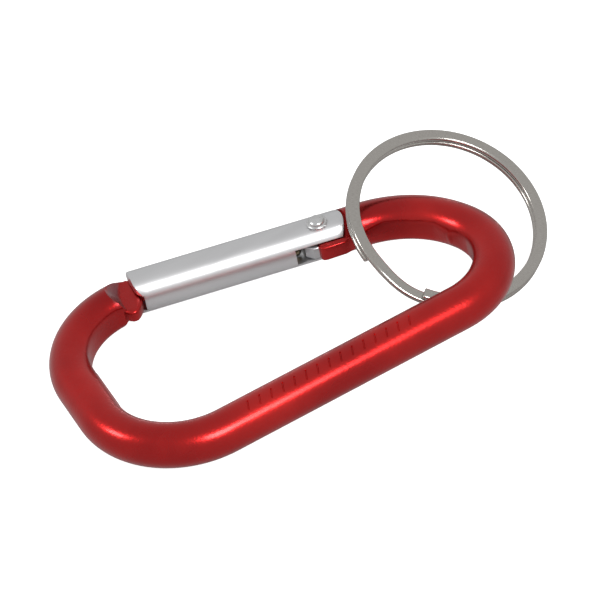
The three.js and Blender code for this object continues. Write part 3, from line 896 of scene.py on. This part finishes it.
def brass_darkened_as_painted_shade():
    material, nodes, links, shader = principled("plunger_brass")
    grain = place_grain(nodes, links, 1800, 400)
    # Painted shade: the brass is coloured nearly black, standing in for the shadow inside the gate's bore
    # and slot.
    toned(nodes, links, grain, shader, (0.05, 0.038, 0.022), (0.11, 0.085, 0.05))
    links.new(ranged(nodes, links, grain.outputs["Height"], 0.28, 0.42), shader.inputs["Roughness"])
    shader.inputs["Metallic"].default_value = 1.0
    raised(nodes, links, grain.outputs["Height"], 0.3, 0.00002, shader.inputs["Normal"])
    return material


plunger = finish_object("gate_plunger_pin", smoothed(bar_mesh(plunger_profile(), 48), 40), brass_darkened_as_painted_shade())
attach(plunger, "plunger")
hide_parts("gate_plunger")


def spring_tree(material):
    """Geometry Nodes: a helix of round wire along +Z."""
    tree = bpy.data.node_groups.new("spring_coil", "GeometryNodeTree")
    for name in ("Coil Radius", "Wire Radius", "Length", "Turns"):
        tree.interface.new_socket(name, in_out="INPUT", socket_type="NodeSocketFloat")
    tree.interface.new_socket("Geometry", in_out="OUTPUT", socket_type="NodeSocketGeometry")
    add, link = tree.nodes.new, tree.links.new
    given, result = add("NodeGroupInput"), add("NodeGroupOutput")
    helix, wire = add("GeometryNodeCurveSpiral"), add("GeometryNodeCurveToMesh")
    section = add("GeometryNodeCurvePrimitiveCircle")
    helix.inputs["Resolution"].default_value = 32
    link(given.outputs["Turns"], helix.inputs["Rotations"])
    link(given.outputs["Coil Radius"], helix.inputs["Start Radius"])
    link(given.outputs["Coil Radius"], helix.inputs["End Radius"])
    link(given.outputs["Length"], helix.inputs["Height"])
    section.inputs["Resolution"].default_value = 12
    link(given.outputs["Wire Radius"], section.inputs["Radius"])
    link(helix.outputs["Curve"], wire.inputs["Curve"])
    link(section.outputs["Curve"], wire.inputs["Profile Curve"])
    wire.inputs["Fill Caps"].default_value = True
    real, coat = add("GeometryNodeRealizeInstances"), add("GeometryNodeSetMaterial")
    coat.inputs["Material"].default_value = material
    link(wire.outputs["Mesh"], real.inputs["Geometry"])
    link(real.outputs["Geometry"], coat.inputs["Geometry"])
    link(coat.outputs["Geometry"], result.inputs["Geometry"])
    return tree


def spring_steel():
    material, nodes, links, shader = principled("spring_steel")
    grain = place_grain(nodes, links, 3000, 700)
    toned(nodes, links, grain, shader, (0.4, 0.4, 0.41), (0.56, 0.56, 0.57))
    links.new(ranged(nodes, links, grain.outputs["Height"], 0.25, 0.4), shader.inputs["Roughness"])
    shader.inputs["Metallic"].default_value = 1.0
    raised(nodes, links, grain.outputs["Height"], 0.25, 0.00001, shader.inputs["Normal"])
    return material


steel = spring_steel()
spring_back = -gate_reach + NOSE_SLOT_DEPTH + BORE_END_WALL + 0.1 + SPRING_WIRE_RADIUS
spring_front = PLUNGER_FRONT - PLUNGER_LENGTH - PLUNGER_STROKE - 0.1 - SPRING_WIRE_RADIUS
spring_mesh = from_tree("spring_coil", spring_tree(steel), coil_radius=SPRING_RADIUS * MM,
                        wire_radius=SPRING_WIRE_RADIUS * MM, length=(spring_front - spring_back) * MM,
                        turns=float(SPRING_TURNS))
lay_along_gate = Matrix((gate_y, Vector((0, 0, 1)), gate_x)).transposed().to_4x4()
spring_mesh.transform(Matrix.Translation(at_gate(spring_back, GATE_AXIS_OUTSET, 0)) @ lay_along_gate)
spring = finish_object("gate_spring_coil", smoothed(outward_faces(spring_mesh), 60), steel)
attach(spring, "gate")
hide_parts("gate_spring")


# ---- Split ring ----
# One flattened steel wire, nickel plated, wound about twice and sprung shut, with a step between its layers.
# Its ends are cropped blunt.

RING_RADIUS = 13.2
RING_WIRE_WIDTH = 1.6
RING_WIRE_THICKNESS = 0.87
RING_WIRE_ROLLED = 0.81
RING_HEADING = -66.2
RING_UPPER_END = 222
RING_WOUND = 681
RING_STEP_START = 545
RING_STEP_ANGLE = 34
RING_LAYER_RISE = 0.485
RING_CROSSING_GAP = 0.9
RING_CENTRE_INSET = 6
RING_CENTRE_RISE = 14.9
OVER_LIMB_INSET = 7.3
UNDER_SPINE_INSET = 6.55
UNDER_SPINE_RISE = 3

ring_reach = ROD_RADIUS + RING_LAYER_RISE + RING_WIRE_THICKNESS / 2 + RING_CROSSING_GAP
level_away = Vector((math.cos(math.radians(RING_HEADING)), math.sin(math.radians(RING_HEADING)), 0))
under_spine = Vector((SPINE_HINGE_CORNER.x - UNDER_SPINE_INSET, UNDER_SPINE_RISE, 0))
over_limb_x = HINGE_CORNER.x - OVER_LIMB_INSET
limb_slope = along_limb.y / along_limb.x
over_limb = Vector((over_limb_x, NOSE_CORNER.y + (over_limb_x - NOSE_CORNER.x) * limb_slope, 0))
ring_lean = math.asin(2 * ring_reach / (under_spine - over_limb).dot(level_away))
ring_up = level_away * math.sin(ring_lean) + Vector((0, 0, math.cos(ring_lean)))
ring_middle = Vector((SPINE_HINGE_CORNER.x - RING_CENTRE_INSET, RING_CENTRE_RISE, 0))
ring_middle.z = (ring_up.dot(under_spine) - ring_reach - ring_up.dot(ring_middle)) / ring_up.z
ring_y = ring_up.cross(Vector((1, 0, 0))).normalized()
ring_x = ring_y.cross(ring_up)
ring_centre = at_spine(*ring_middle)


def wire_section(width, thickness, corner, steps=5):
    """A rolled wire's section, as (outward, upward) offsets from its middle."""
    points = []
    for turn, (x, y) in enumerate(((1, 1), (-1, 1), (-1, -1), (1, -1))):
        for i in range(steps):
            angle = math.radians(90 * turn + 90 * i / (steps - 1))
            points.append((x * (width / 2 - corner) + corner * math.cos(angle),
                           y * (thickness / 2 - corner) + corner * math.sin(angle)))
    return points


def ring_mesh():
    steps = 900
    section = wire_section(RING_WIRE_WIDTH, RING_WIRE_ROLLED, 0.36)
    middle = RING_RADIUS - RING_WIRE_WIDTH / 2
    rings = []
    positions = [(0.0, 0.86), (0.03, 0.95), (0.09, 1.0)]
    span = math.radians(RING_WOUND) * middle
    inner = [0.3 + (span - 0.6) * i / steps for i in range(steps + 1)]
    stations = positions + [(s, 1.0) for s in inner] + [(span - s, k) for s, k in reversed(positions)]
    for distance, size in stations:
        angle_deg = RING_UPPER_END + math.degrees(distance / middle)
        share = min(1, max(0, (angle_deg - RING_STEP_START) / RING_STEP_ANGLE))
        height = RING_LAYER_RISE * math.cos(share * math.pi)
        angle = math.radians(angle_deg)
        outward = ring_x * math.cos(angle) + ring_y * math.sin(angle)
        ring = []
        for out, up in section:
            point = outward * (middle + out * size) + ring_up * (height + up * size)
            ring.append(ring_centre + point * MM)
        rings.append(ring)
    mesh = grid_mesh("ring", rings)
    lengthwise = mesh.uv_layers.new(name="wire")
    sides = len(section)
    for loop in mesh.loops:
        station, side = divmod(loop.vertex_index, sides)
        lengthwise.data[loop.index].uv = (stations[station][0] / 10, section[side][0] / 10)
    return mesh


def nickel_plate():
    """Bright nickel over rolled wire, with fine lines across the wire."""
    material, nodes, links, shader = principled("nickel_plate")
    grain = place_grain(nodes, links, 60, 9, 0.0, (4, 0.35, 1), source="UV")
    toned(nodes, links, grain, shader, (0.47, 0.445, 0.41), (0.60, 0.575, 0.54), "Height")
    links.new(ranged(nodes, links, grain.outputs["Tone"], 0.13, 0.2), shader.inputs["Roughness"])
    shader.inputs["Metallic"].default_value = 1.0
    raised(nodes, links, grain.outputs["Height"], 0.15, 0.000002, shader.inputs["Normal"])
    return material


split_ring = finish_object("split_ring_wire", smoothed(ring_mesh(), 50), nickel_plate())
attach(split_ring, "ring")
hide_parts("split_ring")
